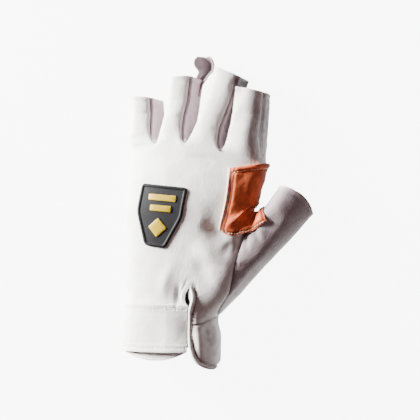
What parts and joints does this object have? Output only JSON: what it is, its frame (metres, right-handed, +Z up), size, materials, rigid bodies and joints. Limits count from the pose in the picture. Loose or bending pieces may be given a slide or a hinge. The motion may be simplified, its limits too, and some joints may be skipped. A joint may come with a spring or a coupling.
{
  "type": "climbing glove",
  "caption": "Half-finger climbing glove in pale leather with open finger tips, a wrist slit and strap, a rust patch round the thumb web and a badge on the back.",
  "frame": {"origin": "middle of the bounding box, at the level of the surface under the palm", "axes": "+X towards the thumb, +Y from the wrist to the fingertips, +Z up, out of the back of the hand"},
  "size_m": [0.138, 0.22, 0.0385],
  "materials": {
    "goat_leather": "matt",
    "rust_leather": "satin",
    "raw_edge": "matt",
    "black_rubber": "satin",
    "yellow_rubber": "satin"
  },
  "bodies": {
    "root": {"back_panel": "goat_leather", "palm_panel": "goat_leather", "thumb_stall": "goat_leather", "fourchette_little_ring": "goat_leather", "fourchette_ring_middle": "goat_leather", "fourchette_middle_index": "goat_leather", "wrist_tongue": "goat_leather", "wrist_strap": "goat_leather", "slit_piping": "goat_leather", "pull_tab": "goat_leather", "web_patch": "rust_leather", "web_patch_welt": "raw_edge", "badge_shield": "black_rubber", "badge_bar_upper": "yellow_rubber", "badge_bar_lower": "yellow_rubber", "badge_lozenge": "yellow_rubber"}
  },
  "joints": []
}
